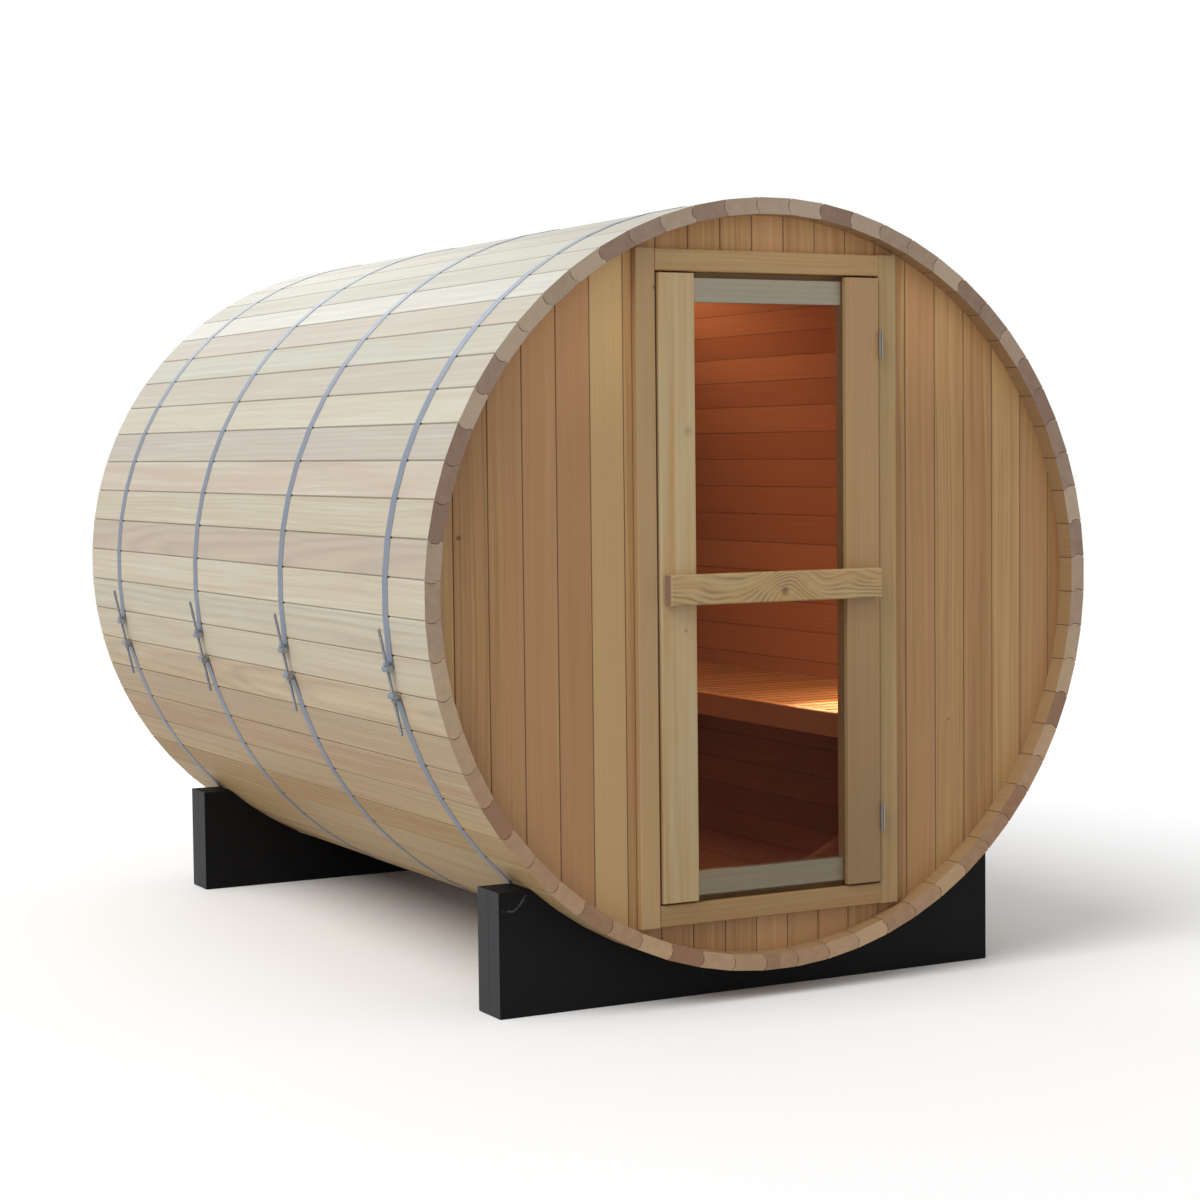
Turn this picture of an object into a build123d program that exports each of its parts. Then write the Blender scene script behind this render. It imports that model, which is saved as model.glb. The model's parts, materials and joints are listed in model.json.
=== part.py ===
from build123d import *
import math
import os

# Barrel sauna: a lying barrel of coopered staves on two cradles, closed by two board walls.
# Front view runs along +Y. X is to the right, Z is up, and Z = 0 is the ground.
# The origin is the middle of the front cradle's underside. Lengths are millimetres.

# Barrel
barrel_radius = 900.0
barrel_length = 2450.0
ground_to_barrel = 66.0
stave_count = 64
staves_per_group = 8
stave_thickness = 38.0
stave_joint = 0.4
stave_arris_width = 2.4
stave_arris_depth = 3.0
bead_span = 26.0
bead_rise = 7.0
bead_flats = 6
croze_depth = 8.0
croze_clearance = 0.3

# End walls
wall_recess = 48.0
wall_thickness = 38.0
board_cover = 86.0
board_joint = 0.4
board_arris = 1.6
board_seam_offset = -35.0

# Door frame
leaf_width = 600.0
leaf_gap = 5.0
frame_bar = 50.0
frame_corner_clearance = 6.8
frame_front = 28.0
frame_joint = 0.3
frame_arris = 2.0
stop_lip = 15.0
stop_gap = 5.0

# Door leaf
leaf_front = 20.0
front_stile_width = 93.0
front_stile_thickness = 16.0
glass_thickness = 8.0
glass_inset = 4.0
rear_frame_thickness = 20.0
rear_frame_inset = 9.0
rear_rail_height = 55.0
leaf_arris = 1.5
handle_length = 580.0
handle_height = 70.0
handle_thickness = 28.0
handle_arris = 3.0

# Hinges
hinge_height = 64.0
hinge_from_leaf_end = 157.0
hinge_plate_thickness = 2.0
hinge_plate_depth = 42.0
knuckle_radius = 5.0
knuckle_stand_off = 6.0
knuckle_count = 3
knuckle_gap = 0.4
pin_radius = 2.5
pin_clearance = 0.06

# Hoops and their tensioners
hoop_places = [216.0, 869.0, 1506.0, 2182.0]
hoop_names = ["hoop_front", "hoop_front_middle", "hoop_back_middle", "hoop_back"]
hoop_width = 30.0
hoop_thickness = 1.2
hoop_clearance = 0.2
tensioner_angle = 102.3
rod_radius = 4.0
rod_length = 250.0
rod_stand_off = 12.0
lug_spacing = 64.0
lug_peel = 60.0
trunnion_radius = 6.6
trunnion_clearance = 0.2
small_round_sides = 12
rod_clearance = 0.2
nut_across_flats = 13.0
nut_thickness = 6.5
nut_bore_clearance = 0.06
nut_seat_gap = 0.3

# Cradles
cradle_width = 1358.0
cradle_height = 290.0
cradle_thickness = 111.0
cradle_setback = 112.0
cradle_spacing = 2000.0
cradle_joint_width = 1.2
cradle_joint_depth = 2.5
cradle_seat_gap = 0.3
cradle_arris = 2.0

# Bench
bench_top_below_axis = 329.0
bench_front = 280.0
bench_fascia_height = 60.0
bench_fascia_thickness = 27.0
bench_slat_width = 46.0
bench_slat_gap = 12.0
bench_slat_thickness = 22.0
bench_joint = 0.3
bench_rail_width = 38.0
bench_rail_height = 36.0
bench_arris = 2.0

# Places worked out from the sizes above
axis_height = ground_to_barrel + barrel_radius
front_rim = -(cradle_setback + cradle_thickness / 2)
stave_pitch = 360.0 / stave_count
half_pitch = math.radians(stave_pitch / 2)
inner_radius = barrel_radius - stave_thickness
outer_corner = math.hypot(barrel_radius, barrel_radius * math.tan(half_pitch) - stave_arris_width)
wall_radius = inner_radius + croze_depth - croze_clearance
wall_back_face = wall_recess + wall_thickness
opening_half_width = leaf_width / 2 + leaf_gap
frame_half_width = opening_half_width + frame_bar
frame_half_height = math.sqrt((inner_radius - frame_corner_clearance) ** 2 - frame_half_width**2)
opening_half_height = frame_half_height - frame_bar
leaf_height = 2 * (opening_half_height - leaf_gap)
leaf_back = leaf_front + front_stile_thickness + glass_thickness + rear_frame_thickness
stop_front = leaf_back + stop_gap
hoop_inner = barrel_radius + hoop_clearance
hoop_outer = hoop_inner + hoop_thickness
hoop_corner = hoop_outer / math.cos(half_pitch)
rod_height = barrel_radius + rod_stand_off


def front_plane(depth):
    """Return the plane that faces the viewer, this far behind the barrel's front rim."""
    return Plane(origin=(0, front_rim + depth, axis_height), x_dir=(1, 0, 0), z_dir=(0, -1, 0))


def level_plane(height):
    """Return a level plane at a height above the barrel's axis, with y counted from the front rim."""
    return Plane(origin=(0, front_rim, axis_height + height), x_dir=(1, 0, 0), z_dir=(0, 0, 1))


def side_plane(x):
    """Return the plane that faces +X, with local x along the barrel and local y up from its axis."""
    return Plane(origin=(x, front_rim, axis_height), x_dir=(0, 1, 0), z_dir=(1, 0, 0))


def save(builder, name):
    """Label a finished piece and write it to its file."""
    builder.part.label = name
    export_step(builder.part, f"parts/{name}.step")


os.makedirs("parts", exist_ok=True)


# Staves
def seam_x(radius):
    """Return half the width of a stave at this distance from the barrel's axis."""
    return radius * math.tan(half_pitch) - stave_joint / 2


def bead(side):
    """Return a stave's cove (side 1) or bead (side -1), square to its seam, from the top to the foot."""
    outline = []
    for step in range(bead_flats + 1):
        turn = math.pi * step / bead_flats
        height = bead_middle + bead_span / 2 * math.cos(turn)
        rise = bead_rise * math.sin(turn)
        x = side * seam_x(height) - rise * math.cos(half_pitch)
        outline.append((x, height + side * rise * math.sin(half_pitch)))
    return outline


bead_middle = barrel_radius - stave_arris_depth - bead_span / 2
flat_end = seam_x(barrel_radius) - stave_arris_width
with BuildPart() as stave:
    with BuildSketch():
        with BuildLine():
            Polyline(
                *bead(1),
                (seam_x(inner_radius), inner_radius),
                (-seam_x(inner_radius), inner_radius),
                *reversed(bead(-1)),
                (-flat_end, barrel_radius),
                (flat_end, barrel_radius),
                close=True,
            )
        make_face()
    extrude(amount=-barrel_length)
    for wall_start in (wall_recess, barrel_length - wall_back_face):
        with BuildSketch(Plane.XY.offset(croze_clearance - wall_start)):
            with Locations((0, inner_radius)):
                Rectangle(4 * seam_x(barrel_radius), 2 * croze_depth)
        extrude(amount=-(wall_thickness + 2 * croze_clearance), mode=Mode.SUBTRACT)

group_names = [
    "staves_top", "staves_top_left", "staves_left", "staves_bottom_left",
    "staves_bottom", "staves_bottom_right", "staves_right", "staves_top_right",
]
group_sweep = stave_pitch * staves_per_group
for index, group_name in enumerate(group_names):
    first_stave = index * group_sweep - group_sweep / 2 + stave_pitch
    with BuildPart(front_plane(0)) as stave_group:
        with PolarLocations(0, staves_per_group, first_stave, group_sweep):
            add(stave.part)
    save(stave_group, group_name)


# End walls
def board(low, high, outer_face, inward):
    """Draw one upright board's section between two seams and raise it to the wall's full height."""
    left = low + board_joint / 2
    right = high - board_joint / 2
    outline = [
        (left, wall_thickness), (left, board_arris), (left + board_arris, 0),
        (right - board_arris, 0), (right, board_arris), (right, wall_thickness),
    ]
    with BuildSketch(level_plane(-barrel_radius)) as section:
        with BuildLine():
            Polyline([(x, outer_face + inward * depth) for x, depth in outline], close=True)
        make_face()
    extrude(section.sketch, amount=2 * barrel_radius)


def boards(low_limit, high_limit, outer_face, inward):
    """Raise the boards of the wall's common seam grid that lie between two limits."""
    index = math.ceil((-barrel_radius - board_seam_offset) / board_cover) - 1
    seam = board_seam_offset + index * board_cover
    while seam < high_limit:
        low = max(seam, low_limit)
        high = min(seam + board_cover, high_limit)
        if high - low > 2 * board_arris + board_joint:
            board(low, high, outer_face, inward)
        seam += board_cover


def trim_to_croze(outer_face, inward):
    """Trim the raised boards to the disc that sits in the staves' groove."""
    with BuildSketch(front_plane(outer_face)) as disc:
        Circle(wall_radius)
    extrude(disc.sketch, amount=-inward * wall_thickness, mode=Mode.INTERSECT)


with BuildPart() as front_wall_left:
    boards(-wall_radius, -frame_half_width - frame_joint, wall_recess, 1)
    trim_to_croze(wall_recess, 1)
save(front_wall_left, "front_wall_left")

with BuildPart() as front_wall_right:
    boards(frame_half_width + frame_joint, wall_radius, wall_recess, 1)
    trim_to_croze(wall_recess, 1)
save(front_wall_right, "front_wall_right")

for name, side in (("front_boards_over_door", 1), ("front_boards_under_door", -1)):
    with BuildPart() as short_boards:
        boards(-frame_half_width, frame_half_width, wall_recess, 1)
        trim_to_croze(wall_recess, 1)
        with BuildSketch(front_plane(wall_recess)):
            with Locations((0, side * (frame_half_height + frame_joint + barrel_radius / 2))):
                Rectangle(2 * barrel_radius, barrel_radius)
        extrude(amount=-wall_thickness, mode=Mode.INTERSECT)
    save(short_boards, name)

with BuildPart() as back_wall:
    boards(-wall_radius, wall_radius, barrel_length - wall_recess, -1)
    trim_to_croze(barrel_length - wall_recess, -1)
save(back_wall, "back_wall")

# Door frame
for name, side in (("door_jamb_left", -1), ("door_jamb_right", 1)):
    with BuildPart() as jamb:
        with BuildSketch(level_plane(-frame_half_height)):
            with Locations((side * (opening_half_width + frame_bar / 2), (frame_front + wall_back_face) / 2)):
                Rectangle(frame_bar, wall_back_face - frame_front)
        extrude(amount=2 * frame_half_height)
        chamfer(jamb.edges().filter_by(Axis.Z).group_by(Axis.Y)[0], length=frame_arris)
        with BuildSketch(level_plane(frame_joint - opening_half_height)):
            with Locations((side * (opening_half_width - stop_lip / 2), (stop_front + wall_back_face) / 2)):
                Rectangle(stop_lip, wall_back_face - stop_front)
        extrude(amount=2 * (opening_half_height - frame_joint))
    save(jamb, name)

for name, side in (("door_header", 1), ("door_sill", -1)):
    with BuildPart() as frame_rail:
        with BuildSketch(side_plane(frame_joint - opening_half_width)):
            with Locations(((frame_front + wall_back_face) / 2, side * (opening_half_height + frame_bar / 2))):
                Rectangle(wall_back_face - frame_front, frame_bar)
        extrude(amount=2 * (opening_half_width - frame_joint))
        chamfer(frame_rail.edges().filter_by(Axis.X).group_by(Axis.Y)[0], length=frame_arris)
        with BuildSketch(side_plane(stop_lip + frame_joint - opening_half_width)):
            with Locations(((stop_front + wall_back_face) / 2, side * (opening_half_height - stop_lip / 2))):
                Rectangle(wall_back_face - stop_front, stop_lip)
        extrude(amount=2 * (opening_half_width - stop_lip - frame_joint))
    save(frame_rail, name)

# Door leaf
for name, side in (("door_stile_left", -1), ("door_stile_right", 1)):
    with BuildPart() as stile:
        with BuildSketch(front_plane(leaf_front)):
            with Locations((side * (leaf_width - front_stile_width) / 2, 0)):
                Rectangle(front_stile_width, leaf_height)
        extrude(amount=-front_stile_thickness)
        chamfer(stile.faces().sort_by(Axis.Y)[0].edges(), length=leaf_arris)
    save(stile, name)

with BuildPart() as door_glass:
    with BuildSketch(front_plane(leaf_front + front_stile_thickness)):
        Rectangle(leaf_width - 2 * glass_inset, leaf_height - 2 * glass_inset)
    extrude(amount=-glass_thickness)
save(door_glass, "door_glass")

rear_frame_front = leaf_front + front_stile_thickness + glass_thickness
rear_frame_height = leaf_height - 2 * rear_frame_inset
for name, side in (("door_rail_top", 1), ("door_rail_bottom", -1)):
    with BuildPart() as rail:
        with BuildSketch(front_plane(rear_frame_front)):
            with Locations((0, side * (rear_frame_height - rear_rail_height) / 2)):
                Rectangle(leaf_width - 2 * front_stile_width - 2 * frame_joint, rear_rail_height)
        extrude(amount=-rear_frame_thickness)
    save(rail, name)

for name, side in (("door_backing_left", -1), ("door_backing_right", 1)):
    with BuildPart() as backing:
        with BuildSketch(front_plane(rear_frame_front)):
            with Locations((side * (leaf_width - front_stile_width) / 2, 0)):
                Rectangle(front_stile_width, rear_frame_height)
        extrude(amount=-rear_frame_thickness)
    save(backing, name)

with BuildPart() as door_handle:
    with BuildSketch(front_plane(leaf_front)):
        Rectangle(handle_length, handle_height)
    extrude(amount=handle_thickness)
    chamfer(door_handle.faces().sort_by(Axis.Y)[0].edges(), length=handle_arris)
save(door_handle, "door_handle")

# Hinges
hinge_from_middle = leaf_height / 2 - hinge_from_leaf_end
pin_x = leaf_width / 2 + leaf_gap / 2
pin_depth = leaf_front - knuckle_stand_off
knuckle_height = hinge_height / knuckle_count


def hinge_plate(middle, plate_face, toward):
    """Draw one flat plate that lies on a face of the door or the jamb and reaches the pin."""
    plate_side = plate_face + toward * hinge_plate_thickness / 2
    with BuildSketch(level_plane(middle - hinge_height / 2)) as plate:
        with Locations((plate_side, pin_depth + hinge_plate_depth / 2)):
            Rectangle(hinge_plate_thickness, hinge_plate_depth)
    extrude(plate.sketch, amount=hinge_height)


def knuckles(middle, first):
    """Cut the plate back between its own knuckles, add those, and keep every second place free."""
    for index in range(knuckle_count):
        start = middle - hinge_height / 2 + index * knuckle_height
        if index % 2 == first:
            with BuildSketch(level_plane(start + knuckle_gap / 2)) as barrel:
                with Locations((pin_x, pin_depth)):
                    RegularPolygon(knuckle_radius, small_round_sides)
            extrude(barrel.sketch, amount=knuckle_height - knuckle_gap)
        else:
            with BuildSketch(level_plane(start - knuckle_gap / 2)) as space:
                with Locations((pin_x, pin_depth)):
                    Circle(knuckle_radius + knuckle_gap)
            extrude(space.sketch, amount=knuckle_height + knuckle_gap, mode=Mode.SUBTRACT)


for name, side in (("door_hinge_upper", 1), ("door_hinge_lower", -1)):
    with BuildPart() as door_hinge:
        hinge_plate(side * hinge_from_middle, leaf_width / 2, 1)
        knuckles(side * hinge_from_middle, 1)
        with BuildSketch(level_plane(side * hinge_from_middle - hinge_height / 2)):
            with Locations((pin_x, pin_depth)):
                Circle(pin_radius + pin_clearance)
        extrude(amount=hinge_height, mode=Mode.SUBTRACT)
    save(door_hinge, name)

for name, side in (("frame_hinge_upper", 1), ("frame_hinge_lower", -1)):
    with BuildPart() as frame_hinge:
        hinge_plate(side * hinge_from_middle, opening_half_width, -1)
        knuckles(side * hinge_from_middle, 0)
        with BuildSketch(level_plane(side * hinge_from_middle - hinge_height / 2 + knuckle_gap / 2)):
            with Locations((pin_x, pin_depth)):
                Circle(pin_radius)
        extrude(amount=hinge_height - knuckle_gap)
    save(frame_hinge, name)

# Hoops
loop_inner = trunnion_radius + trunnion_clearance
loop_outer = loop_inner + hoop_thickness
small_turn = 180.0 / small_round_sides
lugs = [(-lug_spacing / 2, rod_height), (lug_spacing / 2, rod_height)]
rod_window = 2 * (rod_radius / math.cos(math.radians(small_turn)) + rod_clearance)
peel_turn = math.asin((lug_spacing / 2 + lug_peel) / hoop_inner)
first_corner = stave_pitch / 2 - tensioner_angle


def peel_point(side, apothem):
    """Return where a face of the band leaves the staves, on one side of the tensioner."""
    from_corner = math.radians((tensioner_angle - side * math.degrees(peel_turn) - stave_pitch / 2) % stave_pitch)
    radius = apothem / math.cos(from_corner - half_pitch)
    return (side * radius * math.sin(peel_turn), radius * math.cos(peel_turn))


for hoop_name, hoop_place in zip(hoop_names, hoop_places):
    with BuildPart() as hoop:
        with BuildSketch():
            for size, mode in ((hoop_outer, Mode.ADD), (hoop_inner, Mode.SUBTRACT)):
                RegularPolygon(size, stave_count, major_radius=False, rotation=first_corner, mode=mode)
            with BuildLine():
                Polyline((0, 0), peel_point(-1, 2 * hoop_outer), peel_point(1, 2 * hoop_outer), close=True)
            make_face(mode=Mode.SUBTRACT)
            for side in (-1, 1):
                with BuildLine():
                    Polyline(
                        peel_point(side, hoop_inner),
                        peel_point(side, hoop_outer),
                        (side * lug_spacing / 2, rod_height - loop_inner),
                        (side * lug_spacing / 2, rod_height - loop_outer),
                        close=True,
                    )
                make_face()
            for size, mode in ((loop_outer, Mode.ADD), (loop_inner, Mode.SUBTRACT)):
                with Locations(*lugs):
                    RegularPolygon(size, small_round_sides, major_radius=False, rotation=small_turn, mode=mode)
        extrude(amount=hoop_width / 2, both=True)
        with BuildSketch(Plane.YZ.offset(-lug_spacing)):
            with Locations((rod_height, 0)):
                Rectangle(rod_window, rod_window)
        extrude(amount=2 * lug_spacing, mode=Mode.SUBTRACT)
    with BuildPart(front_plane(hoop_place)) as placed_hoop:
        with PolarLocations(0, 1, tensioner_angle):
            add(hoop.part)
    save(placed_hoop, hoop_name)

with BuildPart() as rod:
    with BuildSketch(Plane.YZ.offset(-rod_length / 2)):
        with Locations((rod_height, 0)):
            RegularPolygon(rod_radius, small_round_sides, major_radius=False)
    extrude(amount=rod_length)

bore_apothem = rod_radius + nut_bore_clearance
with BuildPart() as trunnions:
    with BuildSketch():
        with Locations(*lugs):
            RegularPolygon(trunnion_radius, small_round_sides, major_radius=False, rotation=small_turn)
    extrude(amount=hoop_width / 2, both=True)
    with BuildSketch(Plane.YZ.offset(-lug_spacing)):
        with Locations((rod_height, 0)):
            RegularPolygon(bore_apothem, small_round_sides, major_radius=False)
    extrude(amount=2 * lug_spacing, mode=Mode.SUBTRACT)

with BuildPart() as nuts:
    nut_start = lug_spacing / 2 + loop_outer + nut_seat_gap
    for direction in (-1, 1):
        with BuildSketch(Plane.YZ.offset(direction * nut_start)):
            with Locations((rod_height, 0)):
                RegularPolygon(nut_across_flats / 2, 6, major_radius=False)
                RegularPolygon(bore_apothem, small_round_sides, major_radius=False, mode=Mode.SUBTRACT)
        extrude(amount=direction * nut_thickness)

for name, piece in (("tensioner_rods", rod), ("tensioner_trunnions", trunnions), ("tensioner_nuts", nuts)):
    with BuildPart(*[front_plane(hoop_place) for hoop_place in hoop_places]) as tensioner_pieces:
        with PolarLocations(0, 1, tensioner_angle):
            add(piece.part)
    save(tensioner_pieces, name)

# Cradles
seat_radius = outer_corner + cradle_seat_gap
cradle_middle = cradle_height / 2 - axis_height
for name, cradle_front in (("cradle_front", cradle_setback), ("cradle_back", cradle_setback + cradle_spacing)):
    with BuildPart() as cradle:
        with BuildSketch(front_plane(cradle_front)):
            with Locations((0, cradle_middle)):
                Rectangle(cradle_width, cradle_height)
            Circle(seat_radius, mode=Mode.SUBTRACT)
        extrude(amount=-cradle_thickness)
        with BuildSketch(front_plane(cradle_front + (cradle_thickness - cradle_joint_width) / 2)):
            with Locations((-cradle_width / 2, cradle_middle), (cradle_width / 2, cradle_middle)):
                Rectangle(2 * cradle_joint_depth, cradle_height)
        extrude(amount=-cradle_joint_width, mode=Mode.SUBTRACT)
        for hoop_place in hoop_places:
            with BuildSketch(front_plane(hoop_place - hoop_width / 2 - cradle_seat_gap)):
                Circle(hoop_corner + cradle_seat_gap)
            extrude(amount=-(hoop_width + 2 * cradle_seat_gap), mode=Mode.SUBTRACT)
        chamfer(cradle.edges().filter_by(Axis.Y).group_by(Axis.Z)[0], length=cradle_arris)
    save(cradle, name)

# Bench
bench_start = wall_back_face + bench_joint
bench_length = barrel_length - 2 * bench_start
slat_underside = -bench_top_below_axis - bench_slat_thickness
slat_reach = math.sqrt(inner_radius**2 - slat_underside**2) - bench_joint

with BuildPart() as bench_fascia:
    with BuildSketch(front_plane(bench_start)):
        with Locations((bench_front + bench_fascia_thickness / 2, -bench_top_below_axis - bench_fascia_height / 2)):
            Rectangle(bench_fascia_thickness, bench_fascia_height)
    extrude(amount=-bench_length)
    chamfer(bench_fascia.edges().filter_by(Axis.Y).group_by(Axis.X)[0], length=bench_arris)
save(bench_fascia, "bench_fascia")

slat_start = bench_front + bench_fascia_thickness + bench_joint
slat_pitch = bench_slat_width + bench_slat_gap
slat_count = int((bench_length - bench_slat_width) // slat_pitch) + 1
slats_length = (slat_count - 1) * slat_pitch + bench_slat_width
with BuildPart() as bench_slats:
    first_slat = bench_start + (bench_length - slats_length) / 2
    for slat in range(slat_count):
        with BuildSketch(front_plane(first_slat + slat * slat_pitch)):
            with Locations(((slat_start + slat_reach) / 2, -bench_top_below_axis - bench_slat_thickness / 2)):
                Rectangle(slat_reach - slat_start, bench_slat_thickness)
        extrude(amount=-bench_slat_width)
save(bench_slats, "bench_slats")

rail_foot = slat_underside - bench_rail_height
wall_rail_reach = math.sqrt(inner_radius**2 - rail_foot**2) - bench_joint
wall_rail_middle = wall_rail_reach - bench_rail_width / 2
front_rail_middle = slat_start + bench_rail_width / 2
for name, rail_middle in (("bench_rail_front", front_rail_middle), ("bench_rail_wall", wall_rail_middle)):
    with BuildPart() as bench_rail:
        with BuildSketch(front_plane(bench_start)):
            with Locations((rail_middle, slat_underside - bench_rail_height / 2)):
                Rectangle(bench_rail_width, bench_rail_height)
        extrude(amount=-bench_length)
    save(bench_rail, name)
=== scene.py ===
"""The looks of a barrel sauna: its woods, steel, glass and paint, its small fasteners, and a plain studio."""

import json
import math

import bpy
from mathutils import Matrix, Vector


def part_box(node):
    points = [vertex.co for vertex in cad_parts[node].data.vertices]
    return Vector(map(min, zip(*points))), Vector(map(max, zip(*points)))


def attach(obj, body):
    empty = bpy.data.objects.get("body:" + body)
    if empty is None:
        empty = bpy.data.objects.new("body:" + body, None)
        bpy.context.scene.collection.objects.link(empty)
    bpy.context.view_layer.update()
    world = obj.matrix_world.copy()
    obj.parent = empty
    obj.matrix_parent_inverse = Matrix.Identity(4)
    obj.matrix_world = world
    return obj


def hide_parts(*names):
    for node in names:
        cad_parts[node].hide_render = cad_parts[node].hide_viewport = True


bl_info = {
    "name": "Barrel sauna looks",
    "version": (1, 0, 0),
    "blender": (4, 5, 0),
    "location": "View3D > Sidebar > Sauna",
    "description": "Finishes a packed barrel sauna and sets it in a plain studio",
    "category": "Object",
}

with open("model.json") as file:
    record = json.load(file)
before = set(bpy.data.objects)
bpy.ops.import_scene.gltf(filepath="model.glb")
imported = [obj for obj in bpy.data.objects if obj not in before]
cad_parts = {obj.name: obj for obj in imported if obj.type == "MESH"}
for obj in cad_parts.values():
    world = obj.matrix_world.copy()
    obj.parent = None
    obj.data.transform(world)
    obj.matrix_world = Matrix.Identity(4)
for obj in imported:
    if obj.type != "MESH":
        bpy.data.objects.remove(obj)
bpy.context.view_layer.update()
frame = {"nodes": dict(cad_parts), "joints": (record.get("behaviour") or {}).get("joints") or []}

TOP_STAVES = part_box("staves_top")
BOTTOM_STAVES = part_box("staves_bottom")
FRONT_RIM = TOP_STAVES[0].y
BACK_RIM = TOP_STAVES[1].y
BARREL_MIDDLE = (FRONT_RIM + BACK_RIM) / 2
BARREL_RADIUS = (TOP_STAVES[1].z - BOTTOM_STAVES[0].z) / 2
AXIS_HEIGHT = (TOP_STAVES[1].z + BOTTOM_STAVES[0].z) / 2
WALL_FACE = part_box("front_wall_left")[0].y
WALL_SETBACK = WALL_FACE - FRONT_RIM
PIN_X, PIN_Y = frame["joints"][0]["pos_m"][:2]

STAVE_NODES = [name for name in frame["nodes"] if name.startswith("staves_")]
WALL_NODES = [
    "front_wall_left", "front_wall_right", "front_boards_over_door", "front_boards_under_door", "back_wall",
]
HOOP_NODES = ["hoop_front", "hoop_front_middle", "hoop_back_middle", "hoop_back"]
DOOR_HINGES = ["door_hinge_upper", "door_hinge_lower"]
FRAME_HINGES = ["frame_hinge_upper", "frame_hinge_lower"]

# What differs by chance from one stave or board to the next, each with its place in the random series,
# and how far one board's stretch of that series lies from the next one's.
CHANCES = {
    "pith across": 1.0, "pith depth": 2.0, "lean": 3.0, "tone": 4.0, "ring strength": 5.0, "blush": 6.0,
    "inner tone": 8.0, "ring spacing": 9.0, "place in the trunk": 11.0, "painted top light": 12.0, "gloss": 14.0,
    "end pith across": 21.0, "end pith out": 22.0, "end tone": 23.0, "end speckle": 24.0,
}
BOARD_STEP = 7.31

# A knot has its place across and up on the front face of its piece, its radius, and how dark it is.
WALL_KNOTS = [((-0.795, 1.098), 0.008, 1.0), ((0.52, 0.62), 0.005, 0.7)]
LEFT_JAMB_KNOTS = [((-0.3065, 1.656), 0.007, 0.8)]
LEFT_STILE_KNOTS = [((-0.2267, 1.3294), 0.016, 0.3), ((-0.2366, 0.8711), 0.006, 0.5)]

# The two strokes of the scuff on the front cradle, each from one place across and up to another.
SCUFF_STROKES = [((-0.609, 0.278), (-0.639, 0.245)), ((-0.639, 0.245), (-0.665, 0.247))]

# The yellowest wall board, counted from the seam by the barrel's axis.
YELLOW_BOARD = -5.0

# The screws of a hinge plate: how far each lies above the plate's middle, and in from its rear edge.
HINGE_SCREWS = [(-0.022, 0.01), (0.0, 0.02), (0.022, 0.01)]

# How many streaks a metre of steel has along each axis.
BAND_STREAKS = (60.0, 900.0, 60.0)
ROD_STREAKS = (200.0, 200.0, 200.0)
HINGE_STREAKS = (900.0, 900.0, 40.0)
SCREW_STREAKS = (300.0, 300.0, 300.0)


def linear(red, green, blue):
    """Return a colour given in 0 to 255 screen values as linear values."""
    return tuple(
        value / 255 / 12.92 if value <= 10 else ((value / 255 + 0.055) / 1.055) ** 2.4
        for value in (red, green, blue)
    )


def colour(name, description, red, green, blue):
    """Return a colour property with its default given in screen values."""
    return bpy.props.FloatVectorProperty(
        name=name, description=description, subtype="COLOR", size=3, min=0.0, max=1.0,
        default=linear(red, green, blue),
    )


def length(name, description, default):
    """Return a length property in metres."""
    return bpy.props.FloatProperty(
        name=name, description=description, default=default, unit="LENGTH", precision=4
    )


def angle(name, description, default):
    """Return an angle property in radians."""
    return bpy.props.FloatProperty(name=name, description=description, default=default, subtype="ANGLE")


def amount(name, description, default):
    """Return a plain number property."""
    return bpy.props.FloatProperty(name=name, description=description, default=default)


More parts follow.
